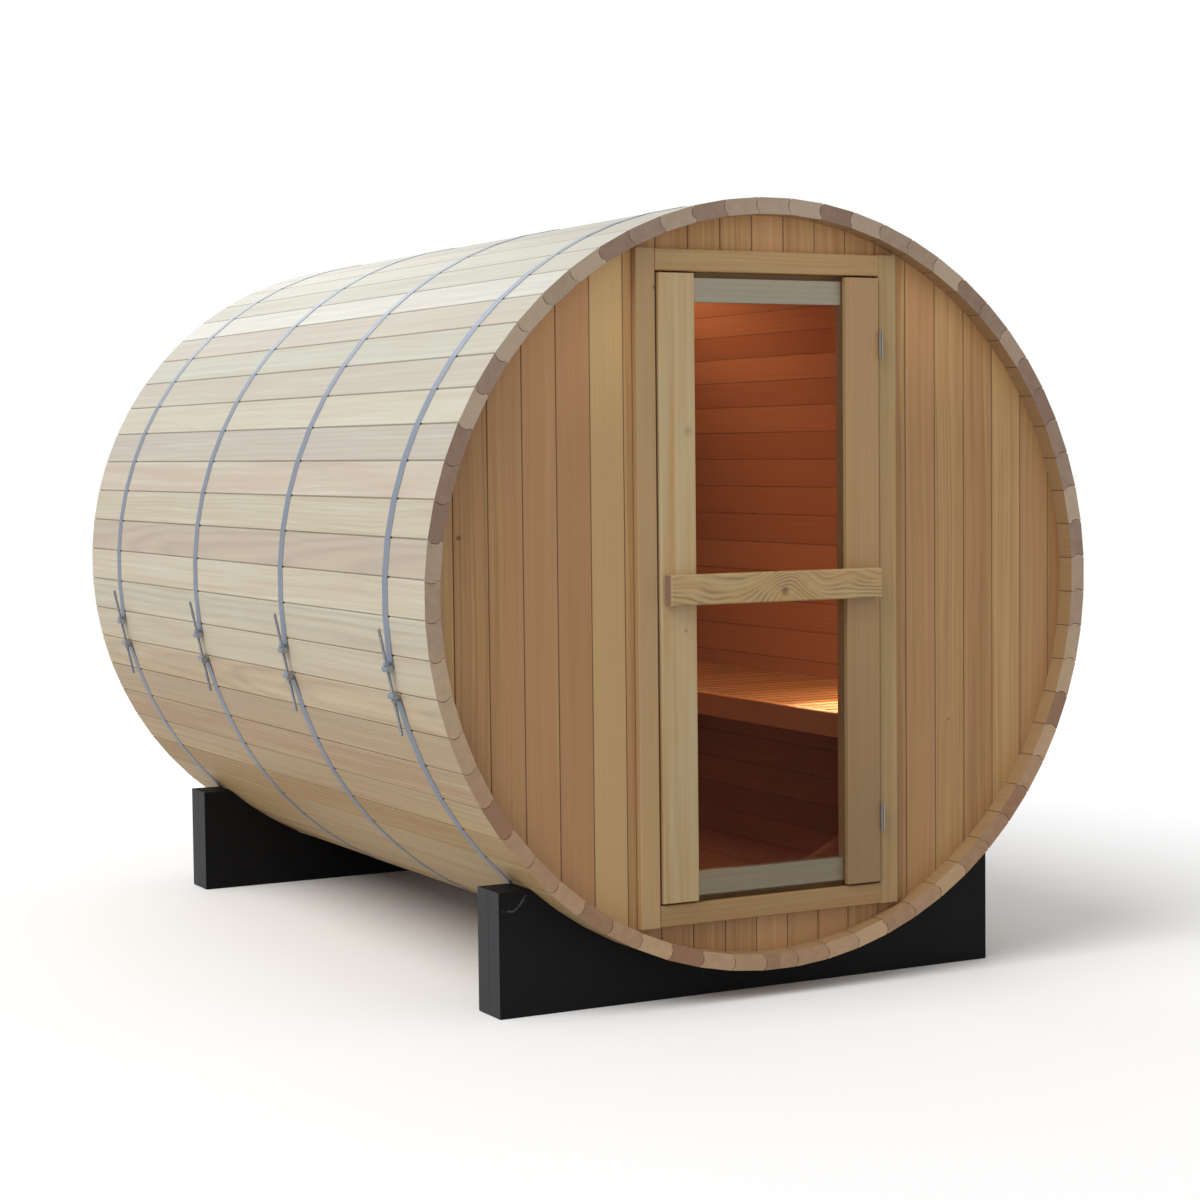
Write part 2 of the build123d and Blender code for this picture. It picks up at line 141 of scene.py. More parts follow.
class SaunaWoods(bpy.types.PropertyGroup):
    """The sizes and colours of the wood."""

    stave_count: bpy.props.IntProperty(
        name="Staves", description="How many staves go round the barrel", default=64
    )
    board_cover: length("Board cover", "The width that one wall board covers", 0.086)
    board_seam: length("Board seam", "Where one seam of the wall boards lies, from the barrel's axis", -0.035)
    bead_depth: length("Bead depth", "From the barrel's outside to the middle of a stave's bead", 0.016)
    bead_span: length("Bead span", "The height of the bead on a stave's edge", 0.026)
    bead_rise: length("Bead rise", "How far a bead reaches into the next stave", 0.007)
    stave_pale: colour("Pale stave", "The palest staves", 219, 210, 188)
    stave_deep: colour("Deep stave", "The darker streaks and staves", 196, 174, 138)
    stave_blush: colour("Stave blush", "The pinkish staves and streaks", 200, 172, 146)
    # Painted light: the colour that the upper staves are paled towards.
    stave_painted_light: colour("Bleached stave", "Wood that the weather has turned grey", 192, 203, 206)
    # Painted shade: what darkens and warms the lowest staves.
    stave_foot_shade: colour("Stave foot", "What the lowest staves' tones are multiplied by", 236, 211, 172)
    inside_light: colour("Light inside", "The lighter inner faces of the staves", 190, 130, 94)
    inside_dark: colour("Dark inside", "The darker inner faces of the staves", 164, 102, 70)
    lip_tone: colour("Lip", "The staves' inner faces in front of the wall", 172, 138, 98)
    end_light: colour("Light end grain", "The palest sawn ends of the staves", 182, 163, 140)
    end_dark: colour("Dark end grain", "The darkest sawn ends of the staves", 142, 115, 98)
    end_foot: colour("End grain foot", "What the lowest sawn ends' tones are multiplied by", 255, 238, 216)
    wall_light: colour("Light wall board", "The tan streaks of the wall boards", 190, 152, 100)
    wall_dark: colour("Dark wall board", "The brown streaks of the wall boards", 156, 113, 70)
    wall_blush: colour("Wall blush", "The pinkish streaks of the wall boards", 176, 130, 88)
    wall_yellow: colour("Yellow wall board", "The yellowest board of the front wall", 200, 172, 116)
    door_light: colour("Light door", "The paler wood of the door and its frame", 205, 178, 128)
    door_dark: colour("Dark door", "The darker wood of the door and its frame", 188, 146, 92)
    door_blush: colour("Door blush", "The pinkish streaks of the door and its frame", 192, 156, 112)
    door_pale: colour("Pale door", "The palest streaks of the door's left stile", 206, 186, 146)
    rail_grey: colour("Grey rail", "The pale rails and stiles behind the glass", 206, 196, 172)
    bench_light: colour("Light bench", "The lighter wood of the bench", 196, 146, 98)
    bench_dark: colour("Dark bench", "The darker wood of the bench", 170, 116, 74)
    knot: colour("Knot", "The middle of a knot", 96, 62, 40)


class SaunaFittings(bpy.types.PropertyGroup):
    """The sizes and colours of the steel, the glass and the paint."""

    band_steel: colour("Band steel", "The bands, bare galvanised steel", 154, 164, 180)
    rod_steel: colour("Rod steel", "The threaded rods and their nuts", 164, 166, 170)
    hinge_steel: colour("Hinge steel", "The hinges", 176, 170, 164)
    screw_steel: colour("Screw steel", "The screws' heads", 150, 146, 142)
    glass_tint: colour("Glass tint", "The body of the glass", 46, 58, 53)
    paint: colour("Paint", "The black paint on the cradles", 16, 16, 17)
    paint_worn: colour("Worn paint", "Paint that is rubbed or dusty", 88, 88, 92)
    thread_pitch: length("Thread pitch", "From one turn of a rod's thread to the next", 0.00125)
    thread_depth: length("Thread depth", "How deep the thread is cut", 0.0007)
    rod_radius: length("Rod radius", "The radius of the threaded rods", 0.004)
    hinge_plate: length("Hinge plate", "The thickness of a hinge's plate", 0.002)
    screw_radius: length("Screw radius", "The radius of a screw's head", 0.0038)


class SaunaStudio(bpy.types.PropertyGroup):
    """The camera, the floor and the lights."""

    camera_place: bpy.props.FloatVectorProperty(
        name="Camera place", description="Where the camera stands", default=(-3.1295, -5.1622, 1.2855),
        subtype="TRANSLATION", unit="LENGTH", precision=4,
    )
    camera_yaw: angle("Camera yaw", "Turn of the camera to the right of straight ahead", 0.48925)
    camera_pitch: angle("Camera pitch", "Tilt of the camera up from level", -0.05886)
    camera_roll: angle("Camera roll", "Turn of the camera about its own axis", -0.01088)
    lens: bpy.props.FloatProperty(
        name="Lens", description="Focal length on a sensor 36 mm wide", default=75.75, unit="CAMERA"
    )
    floor: colour("Floor", "The plain pale floor", 250, 250, 250)
    floor_bounce: amount("Floor bounce", "Share of its light that the floor throws back on the barrel", 0.6)
    backdrop: amount("Backdrop", "Brightness of the plain background", 1.0)
    sky_strength: amount("Sky", "Strength of the even light all round", 0.62)
    key_power: amount("Key light", "Strength of the large soft light on the left", 1.9)
    key_softness: angle("Key softness", "How wide the key light looks from the barrel", 0.75)
    panel_power: amount("Back panel", "Power of the panel behind that puts a sheen on the upper staves", 85.0)
    lamp_power: amount("Cabin lamp", "Power of the small lamp over the bench", 5.0)
    lamp_colour: colour("Lamp colour", "The warm light in the cabin", 255, 208, 160)
    glow_power: amount("Bench glow", "Power of the lamp that makes the bench's front corner bright", 80.0)
    glow_colour: colour("Glow colour", "The light on the bench's front corner", 255, 240, 226)
    fill_power: amount("Cabin fill", "Power of the soft cabin light", 3.9)


class Wire:
    """A value that changes over a surface or a shape. Its operators add Math nodes."""

    def __init__(self, nodes, socket):
        self.nodes = nodes
        self.socket = socket

    def __add__(self, other):
        return self.nodes.maths("ADD", self, other)

    __radd__ = __add__

    def __sub__(self, other):
        return self.nodes.maths("SUBTRACT", self, other)

    def __rsub__(self, other):
        return self.nodes.maths("SUBTRACT", other, self)

    def __mul__(self, other):
        return self.nodes.maths("MULTIPLY", self, other)

    __rmul__ = __mul__

    def __truediv__(self, other):
        return self.nodes.maths("DIVIDE", self, other)

    def __rtruediv__(self, other):
        return self.nodes.maths("DIVIDE", other, self)

    def __pow__(self, other):
        return self.nodes.maths("POWER", self, other)

    def __lt__(self, other):
        return self.nodes.maths("LESS_THAN", self, other)

    def __gt__(self, other):
        return self.nodes.maths("GREATER_THAN", self, other)

    def __abs__(self):
        return self.nodes.maths("ABSOLUTE", self)


class Nodes:
    """Adds the nodes of one tree, all in one way."""

    def __init__(self, tree):
        self.tree = tree

    def add(self, kind, values=None, **settings):
        """Add a node, give it its settings, then set or link its inputs."""
        node = self.tree.nodes.new(kind)
        for name, setting in settings.items():
            setattr(node, name, setting)
        for name, value in (values or {}).items():
            if isinstance(value, Wire):
                self.tree.links.new(value.socket, node.inputs[name])
            else:
                node.inputs[name].default_value = value
        return node

    def wire(self, kind, values=None, output=0, **settings):
        """Add a node and return one of its outputs."""
        return Wire(self, self.add(kind, values, **settings).outputs[output])

    def maths(self, operation, *values):
        """Return the result of a Math node on these values."""
        return self.wire("ShaderNodeMath", dict(enumerate(values)), operation=operation)

    def slant(self, one, other):
        """Return the long side of a right triangle from its two short ones."""
        return self.maths("SQRT", one * one + other * other)

    def point(self, x, y, z):
        """Return a vector from its three coordinates."""
        return self.wire("ShaderNodeCombineXYZ", {0: x, 1: y, 2: z})

    def split(self, vector):
        """Return the three coordinates of a vector."""
        parts = self.add("ShaderNodeSeparateXYZ", {0: vector})
        return [Wire(self, parts.outputs[axis]) for axis in range(3)]


class Finish(Nodes):
    """The nodes of one material, with the patterns that the woods and metals share."""

    def __init__(self, name):
        self.material = bpy.data.materials.new(name)
        self.material.use_nodes = True
        super().__init__(self.material.node_tree)
        self.tree.nodes.clear()
        self.place = self.wire("ShaderNodeTexCoord", output="Object")
        self.x, self.y, self.z = self.split(self.place)

    def ramp(self, value, low, high, to_low=0.0, to_high=1.0):
        """Return a value that goes smoothly from one level to another between two limits."""
        values = {0: value, 1: low, 2: high, 3: to_low, 4: to_high}
        return self.wire("ShaderNodeMapRange", values, interpolation_type="SMOOTHSTEP")

    def wave(self, turn):
        """Return a value that swings between 0 and 1, once in each full turn."""
        return self.maths("SINE", turn) * 0.5 + 0.5

    def chance(self, board, trait):
        """Return a random number from 0 to 1 that is the same all over a board."""
        seed = board * BOARD_STEP + CHANCES[trait]
        return self.wire("ShaderNodeTexWhiteNoise", {"W": seed}, noise_dimensions="1D")

    def noise(self, x, y, z, detail=2.0, roughness=0.5):
        """Return soft noise from 0 to 1 that changes about once in each unit of three values."""
        values = {"Vector": self.point(x, y, z), "Scale": 1.0, "Detail": detail, "Roughness": roughness}
        return self.wire("ShaderNodeTexNoise", values)

    def sway(self, x, y, z, detail=2.0, roughness=0.5):
        """Return soft noise that lies about zero."""
        return self.noise(x, y, z, detail, roughness) - 0.5

    def mix(self, share, one, other, blend="MIX"):
        """Return a mix of two colours."""
        pair = [value if isinstance(value, Wire) else (*value, 1.0) for value in (one, other)]
        values = {0: share, 6: pair[0], 7: pair[1]}
        return self.wire("ShaderNodeMix", values, output=2, data_type="RGBA", blend_type=blend)

    def tint(self, tone, other):
        """Return a colour multiplied by another."""
        return self.mix(1.0, tone, other, "MULTIPLY")

    def shade(self, tone, level):
        """Return a colour made lighter or darker."""
        return self.wire("ShaderNodeVectorMath", {0: tone, "Scale": level}, operation="SCALE")

    def near(self, spot, radius):
        """Return 1 at a spot on the surface, falling to 0 at a radius."""
        values = {0: self.place, 1: spot}
        away = self.wire("ShaderNodeVectorMath", values, output="Value", operation="DISTANCE")
        return self.ramp(away, 0.0, radius, 1.0, 0.0)

    def finish(self, tone, roughness, bump=None, bump_depth=0.0, **constants):
        """Close the tree with a Principled shader."""
        values = {"Base Color": tone, "Roughness": roughness}
        values.update({name.replace("_", " "): value for name, value in constants.items()})
        if bump is not None:
            relief = {"Height": bump, "Distance": bump_depth, "Strength": 1.0}
            values["Normal"] = self.wire("ShaderNodeBump", relief)
        shader = self.wire("ShaderNodeBsdfPrincipled", values)
        self.add("ShaderNodeOutputMaterial", {"Surface": shader})
        return self.material


def on_face(knots, node):
    """Return knots that are given across and up as knots on the front face of a CAD node."""
    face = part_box(node)[0].y
    return [((x, face, z), radius, share) for (x, z), radius, share in knots]


def rings(wood, across, along, board, ring_width, knots):
    """Return the growth rings of boards sawn from a trunk, with its pith off to one side and leaning."""
    start = along + wood.chance(board, "place in the trunk") * 5.0
    bend = wood.sway(across * 5.0, start * 1.1, board * 3.7)
    pith_across = (wood.chance(board, "pith across") - 0.5) * 0.2
    pith_depth = wood.chance(board, "pith depth") * 0.12 + 0.02 + bend * 0.02
    lean = (wood.chance(board, "lean") - 0.5) * 0.03
    from_pith = wood.slant(across - pith_across, pith_depth + start * lean)
    for spot, radius, _ in knots:
        from_pith = from_pith + wood.near(spot, radius * 4.0) * radius
    spacing = wood.chance(board, "ring spacing") * 0.8 + 0.7
    return wood.wave(from_pith * (math.tau / ring_width) / spacing) ** 2.0


def planed_wood(
    wood, across, through, along, board, tones, ring_width=0.007, ring_depth=0.1, streaks=1.8, knots=()
):
    """Return the colour and the relief of planed boards: soft streaks, growth rings, fibres and knots."""
    light, dark, blush = tones
    # What a length is multiplied by says how many features a metre holds in that direction.
    place = across + wood.sway(0.0, along * 1.6, board * 1.7, detail=1.0) * 0.03
    streak = wood.sway(place * 105.0, along * 0.9, board * 3.1, detail=4.0, roughness=0.6)
    flush = wood.sway(place * 42.0, along * 1.3, board * 5.3 + 40.0)
    cloud = wood.sway(across * 16.0, along * 4.5, board * 2.1)
    fibre = wood.noise(across * 420.0, along * 5.0, through * 420.0 + board * 5.0, detail=3.0, roughness=0.6)
    ring_strength = wood.ramp(wood.chance(board, "ring strength"), 0.2, 0.9, 0.25, 1.0) * (0.7 + cloud)
    ring = rings(wood, across, along, board, ring_width, knots) * ring_strength
    darkness = wood.chance(board, "tone") * 0.8 + 0.1 + streak * streaks + cloud * 0.6
    blushing = wood.ramp(flush * streaks * 0.5 + wood.chance(board, "blush") * 0.5, 0.12, 0.5) * 0.8
    tone = wood.mix(blushing, wood.mix(darkness, light, dark), blush)
    tone = wood.shade(tone, 1.02 - ring * ring_depth + (fibre - 0.5) * 0.16 + cloud * 0.14)
    for spot, radius, share in knots:
        tone = wood.mix(wood.near(spot, radius) ** 0.6 * share, tone, bpy.context.scene.sauna_woods.knot)
    return tone, fibre * 0.7 - ring * 0.3


def seam_line(wood, share, cover, width):
    """Return 1 in the seam between two boards, where share runs from 0 to 1 across a board."""
    return wood.ramp(abs(share - 0.5), 0.5 - width / cover, 0.5 - 0.3 * width / cover)


def stave_outside(wood, rise, radius, across, stave, foot):
    """Return the colour and the relief of the staves' outsides, with painted light that makes them paler and
    greyer above and painted shade that makes them darker and warmer at the foot.
    """
    look = bpy.context.scene.sauna_woods
    tones = look.stave_pale, look.stave_deep, look.stave_blush
    tone, relief = planed_wood(
        wood, across, radius, wood.y, stave, tones, ring_width=0.008, ring_depth=0.2, streaks=1.7
    )
    # Painted shade: the lowest staves are darkened and warmed.
    tone = wood.mix(foot, tone, wood.tint(tone, look.stave_foot_shade))
    # Painted light: the upper staves are paled and greyed, some more than others.
    painted_light = wood.ramp(rise, -0.7, 0.85, 0.0, 0.75) + (wood.chance(stave, "painted top light") - 0.5) * 0.3
    painted_lit_tone = wood.tint(wood.shade(tone, 1.45), look.stave_painted_light)
    return wood.mix(painted_light, tone, wood.mix(0.4, painted_lit_tone, look.stave_painted_light)), relief


def stave_inside(wood, stave, relief):
    """Return the colour of the staves' inner faces: red-brown in the cabin, tan outside its walls."""
    look = bpy.context.scene.sauna_woods
    share = wood.chance(stave, "inner tone") * 0.8 + (relief - 0.3) * 0.9
    cabin_tone = wood.mix(share, look.inside_light, look.inside_dark)
    lip_tone = wood.shade(look.lip_tone, 0.75 + relief * 0.3)
    in_wall = 0.01
    in_cabin = (wood.y > WALL_FACE + in_wall) * (wood.y < BACK_RIM - WALL_SETBACK - in_wall)
    return wood.mix(in_cabin, lip_tone, cabin_tone)


def stave_end(wood, across, radius, stave):
    """Return the colour of the staves' sawn ends, each with its own tone, rings and speckles."""
    look = bpy.context.scene.sauna_woods
    pith_across = across - (wood.chance(stave, "end pith across") - 0.5) * 0.3
    pith_out = radius - BARREL_RADIUS - (wood.chance(stave, "end pith out") - 0.5) * 0.2
    ring_width = 0.0042
    ring = wood.wave(wood.slant(pith_across, pith_out) * (math.tau / ring_width))
    speckle = wood.sway(wood.x * 420.0, wood.z * 420.0, stave)
    blotch = wood.sway(wood.x * 40.0, wood.z * 40.0, stave)
    speckle_strength = wood.ramp(wood.chance(stave, "end speckle"), 0.5, 0.95, 0.25, 1.1)
    share = wood.chance(stave, "end tone") * 1.1 - 0.1 + ring * 0.12 + blotch * 0.6
    tone = wood.mix(share, look.end_light, look.end_dark)
    return wood.shade(tone, 1.0 + speckle * speckle_strength)


def stave_finish():
    """The staves: pale planed outsides, warmer insides, and sawn ends that show each bead in its cove."""
    look = bpy.context.scene.sauna_woods
    wood = Finish("stave_wood")
    rise = wood.z - AXIS_HEIGHT
    radius = wood.slant(wood.x, rise)
    bead_radius = BARREL_RADIUS - look.bead_depth
    cover = math.tau * bead_radius / look.stave_count
    turn = wood.maths("ARCTAN2", wood.x, rise) * (look.stave_count / math.tau) + look.stave_count
    bead_height = (radius - bead_radius) / (look.bead_span / 2)
    bead = wood.maths("SQRT", wood.maths("MAXIMUM", 1.0 - bead_height * bead_height, 0.0))
    at_rim = 0.0004
    long_face = (wood.y > FRONT_RIM + at_rim) * (wood.y < BACK_RIM - at_rim)
    sawn_face = 1.0 - long_face
    joint = turn + 0.5 + bead * sawn_face * (look.bead_rise / cover)
    stave = wood.maths("FLOOR", joint)
    share = joint - stave
    across = (turn - stave) * cover
    foot = wood.ramp(rise, -0.6, 0.15, 1.0, 0.0)

    tone, relief = stave_outside(wood, rise, radius, across, stave, foot)
    inner = wood.ramp(radius, BARREL_RADIUS - 0.03, BARREL_RADIUS - 0.026, 1.0, 0.0)
    tone = wood.mix(inner, tone, stave_inside(wood, stave, relief))
    seam = seam_line(wood, share, cover, width=0.0024)
    tone = wood.mix(seam * (0.5 + inner * 0.35), tone, wood.shade(tone, 0.45))

    # Painted shadow: each seam is painted near black where it runs under the front edge of a band, for the
    # shade in the groove beneath the band.
    from_band = 1.0
    for hoop in HOOP_NODES:
        front_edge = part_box(hoop)[0].y - 0.0015
        from_band = wood.maths("MINIMUM", abs(wood.y - front_edge), from_band)
    band_edge_shadow = wood.ramp(from_band, 0.002, 0.0045, 1.0, 0.0) * seam_line(wood, share, cover, width=0.0045)
    tone = wood.mix(band_edge_shadow * 0.85, tone, (0.02, 0.015, 0.012))

    end_tone = stave_end(wood, across, radius, stave)
    end_tone = wood.mix(foot, end_tone, wood.tint(wood.shade(end_tone, 1.12), look.end_foot))
    end_seam = seam_line(wood, share, cover, width=0.0016) * (bead * 0.6 + 0.35)
    end_tone = wood.mix(end_seam, end_tone, wood.shade(end_tone, 0.3))
    tone = wood.mix(long_face, end_tone, tone)
    roughness = 0.4 + (relief - 0.3) * 0.14 + sawn_face * 0.35 + wood.chance(stave, "gloss") * 0.14
    return wood.finish(tone, roughness, relief, bump_depth=0.0003)


def board_wall_finish():
    """The end walls: upright boards with soft streaks, one of them yellower than the rest, and painted light
    that brightens them towards the top.
    """
    look = bpy.context.scene.sauna_woods
    wood = Finish("wall_wood")
    seams = (wood.x - look.board_seam) / look.board_cover
    board = wood.maths("FLOOR", seams)
    share = seams - board
    across = (share - 0.5) * look.board_cover
    at_back = wood.y > BARREL_MIDDLE
    tones = look.wall_light, look.wall_dark, look.wall_blush
    tone, relief = planed_wood(
        wood, across, wood.y, wood.z, board + at_back * 40.0, tones,
        ring_depth=0.06, streaks=1.9, knots=on_face(WALL_KNOTS, "front_wall_left"),
    )
    yellow = (abs(board - YELLOW_BOARD) < 0.5) * (1.0 - at_back)
    tone = wood.mix(yellow * 0.6, tone, wood.shade(look.wall_yellow, 0.9 + relief * 0.25))
    # Painted light: the boards are brightened up to the top of the door's header and above it, where the
    # rim's shade falls.
    header_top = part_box("door_header")[1].z
    tone = wood.shade(tone, wood.ramp(wood.z, header_top - 0.5, header_top, 1.0, 1.42))
    seam = seam_line(wood, share, look.board_cover, width=0.0022)
    tone = wood.mix(seam * 0.75, tone, wood.shade(tone, 0.35))
    return wood.finish(tone, 0.5 + relief * 0.12, relief, bump_depth=0.0004)


def plank_finish(node, grain_axis, tones, level=1.0, foot=1.0, knots=()):
    """A single plank with its grain along one axis, made lighter or darker all over, and darkened towards its
    foot by painted shade.
    """
    low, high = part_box(node)
    middle = (low + high) / 2
    wood = Finish(node + "_wood")
    places = {
        "x": (wood.z - middle.z, wood.y, wood.x),
        "y": (wood.x - middle.x, wood.z, wood.y),
        "z": (wood.x - middle.x, wood.y, wood.z),
    }
    across, through, along = places[grain_axis]
    # Each plank gets a number of its own from where it lies, and so its own share of chance.
    board = middle.x * 3.1 + middle.z * 5.7
    shades = [tuple(channel * level for channel in tone) for tone in tones]
    tone, relief = planed_wood(
        wood, across, through, along, board, shades,
        ring_width=0.009, ring_depth=0.09, streaks=1.7, knots=knots,
    )
    # Painted shade: the plank darkens from above its middle down to its foot.
    tone = wood.shade(tone, wood.ramp(wood.z, low.z, middle.z + 0.3, foot, 1.0))
    return wood.finish(tone, 0.48 + relief * 0.12, relief, bump_depth=0.0004)


def handle_finish():
    """The door's handle: wild grain that swings round a knot near its middle."""
    look = bpy.context.scene.sauna_woods
    wood = Finish("handle_wood")
    low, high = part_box("door_handle")
    knot = ((low.x + high.x) / 2 + 0.015, low.y, (low.z + high.z) / 2 - 0.01)
    swing = wood.sway(wood.x * 6.0, 0.0, wood.z * 8.0, detail=1.5)
    hill = wood.near(knot, 0.17)
    path = wood.z + swing * 0.1 - hill * hill * 0.06 + wood.x * 0.03
    fade = wood.noise(wood.x * 14.0, wood.y, wood.z * 30.0)
    ring_width = 0.013
    ring = wood.wave(path * (math.tau / ring_width)) ** 1.5 * wood.ramp(fade, 0.35, 0.65, 0.25, 1.0)
    fibre = wood.noise(wood.x * 6.0, wood.y * 300.0, path * 420.0, detail=3.0)
    stripe = wood.sway(wood.x * 3.0, 0.0, path * 60.0, detail=3.0)
    tone = wood.mix(stripe * 2.0 + 0.5, look.door_light, look.door_dark)
    tone = wood.shade(tone, 0.88 - ring * 0.36 + (fibre - 0.5) * 0.2)
    tone = wood.mix(wood.near(knot, 0.016) * 0.8, tone, look.knot)
    left_end = wood.x < low.x + 0.0005
    tone = wood.mix(left_end, tone, look.end_dark)
    return wood.finish(tone, 0.48, fibre * 0.6 - ring * 0.4, bump_depth=0.0004)


def slat_finish():
    """The bench's slats, each a board of its own that lies across the bench, darkened along both edges by
    painted shade.
    """
    look = bpy.context.scene.sauna_woods
    middles = [round(middle, 4) for middle in piece_middles("bench_slats")]
    pitch = (middles[-1] - middles[0]) / (len(middles) - 1)
    wood = Finish("slat_wood")
    row = (wood.y - middles[0]) / pitch + 0.5
    slat = wood.maths("FLOOR", row)
    off_middle = row - slat - 0.5
    tones = look.bench_light, look.bench_dark, look.bench_light
    tone, relief = planed_wood(wood, off_middle * pitch, wood.z, wood.x, slat, tones)
    # Painted shade: each slat is darkened along both its edges, where shade falls on the rounded arrises and
    # between the slats.
    edge = wood.ramp(abs(off_middle), 0.26, 0.36)
    tone = wood.mix(edge * 0.7, tone, wood.shade(tone, 0.35))
    return wood.finish(tone, 0.42 + relief * 0.1, relief, bump_depth=0.0004)


def rolled_steel(steel, tone, streaks_per_metre):
    """Return the colour, the streaks and the dull patches of drawn or rolled steel."""
    along_x, along_y, along_z = streaks_per_metre
    streak = steel.noise(steel.x * along_x, steel.y * along_y, steel.z * along_z)
    patch = steel.noise(steel.x * 14.0, steel.y * 14.0, steel.z * 14.0, detail=3.0)
    return steel.shade(tone, 0.78 + streak * 0.22 + patch * 0.24), streak, patch


def steel_finish(name, tone, roughness, streaks_per_metre):
    """Steel with a drawn or rolled surface and dull patches."""
    steel = Finish(name)
    shaded, streak, patch = rolled_steel(steel, tone, streaks_per_metre)
    return steel.finish(shaded, roughness + patch * 0.2, streak, bump_depth=0.00005, Metallic=0.75)


def hinge_finish(tone):
    """The hinges: rolled steel, with the seam where the sheet of each knuckle meets itself painted as a dark
    band, the painted shade between the knuckle's two highlights.
    """
    steel = Finish("hinge_steel")
    shaded, streak, patch = rolled_steel(steel, tone, HINGE_STREAKS)
    # Painted shade: a near-black band down the front of each knuckle, at the seam of its rolled sheet.
    left_of_pin = 0.0024
    from_line = abs(steel.x - (PIN_X - left_of_pin))
    line = steel.ramp(from_line, 0.0006, 0.0014, 1.0, 0.0) * (steel.y < PIN_Y)
    shaded = steel.mix(line * 0.85, shaded, (0.02, 0.02, 0.022))
    roughness = 0.28 + patch * 0.2 + line * 0.3
    return steel.finish(shaded, roughness, streak - line * 4.0, bump_depth=0.0002, Metallic=0.75)


def glass_finish():
    """Clear toughened glass: nearly nothing seen square on, and a sheen seen at a slant."""
    glass = Finish("glass")
    sheen = glass.wire("ShaderNodeFresnel", {"IOR": 1.3})
    smear = glass.noise(glass.x * 3.0, glass.y, glass.z * 2.0)
    tone = glass.shade(bpy.context.scene.sauna_fittings.glass_tint, 0.9 + smear * 0.2)
    return glass.finish(tone, 0.02 + smear * 0.03, Alpha=0.04 + sheen * 0.9)


def scratch(paint, start, stop, wobble):
    """Return 1 on a thin wavering line between two places across and up, and 0 away from it."""
    line = Vector(stop) - Vector(start)
    run = paint.x - start[0]
    rise = paint.z - start[1]
    share = (run * line.x + rise * line.y) / line.length_squared
    share = paint.maths("MINIMUM", paint.maths("MAXIMUM", share, 0.0), 1.0)
    away = paint.slant(run - share * line.x + wobble * 0.03, rise - share * line.y)
    return paint.ramp(away, 0.0, 0.004, 1.0, 0.0)


def paint_finish():
    """Black paint on sawn timber, paler all over its end faces and scuffed on the front cradle's left."""
    fittings = bpy.context.scene.sauna_fittings
    paint = Finish("black_paint")
    low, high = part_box("cradle_front")
    grain = paint.noise(paint.x * 5.0, paint.y * 160.0, paint.z * 160.0, detail=3.0)
    dust = paint.noise(paint.x * 9.0, paint.y * 9.0, paint.z * 9.0, detail=4.0)
    wobble = paint.sway(paint.x * 60.0, 0.0, paint.z * 60.0)
    scuff = 0.0
    for start, stop in SCUFF_STROKES:
        scuff = scratch(paint, start, stop, wobble) * (dust * 2.4 - 0.3) + scuff
    front_face = paint.y < low.y + 0.002
    end_faces = abs(paint.x) > high.x - 0.0005
    # The end faces are made paler all over; the scuff strokes are wear, and the dust mottles the paint.
    paler_share = end_faces * 0.45 + scuff * front_face + (dust - 0.5) * 0.12
    tone = paint.mix(paler_share, fittings.paint, fittings.paint_worn)
    tone = paint.shade(tone, 0.85 + grain * 0.3)
    return paint.finish(tone, 0.5 + dust * 0.2, grain, bump_depth=0.0005, Specular_IOR_Level=0.2)


def dress(names, material):
    """Give a finish to CAD nodes."""
    for name in names:
        node = frame["nodes"][name]
        node.data.materials.clear()
        node.data.materials.append(material)


def dress_planks(planks):
    """Finish single planks, each given with its grain's axis, its tones and what sets it apart."""
    for node, (grain_axis, tones, own) in planks.items():
        dress([node], plank_finish(node, grain_axis, tones, **own))


def piece_middles(name):
    """Return where the middle of each separate solid of a CAD node lies along the barrel."""
    faces = [face for face in frame["nodes"][name].data.polygons if face.area > 1e-4]
    fronts = sorted({round(face.center.y, 4) for face in faces if face.normal.y < -0.9})
    backs = sorted({round(face.center.y, 4) for face in faces if face.normal.y > 0.9})
    return [(front + back) / 2 for front, back in zip(fronts, backs)]


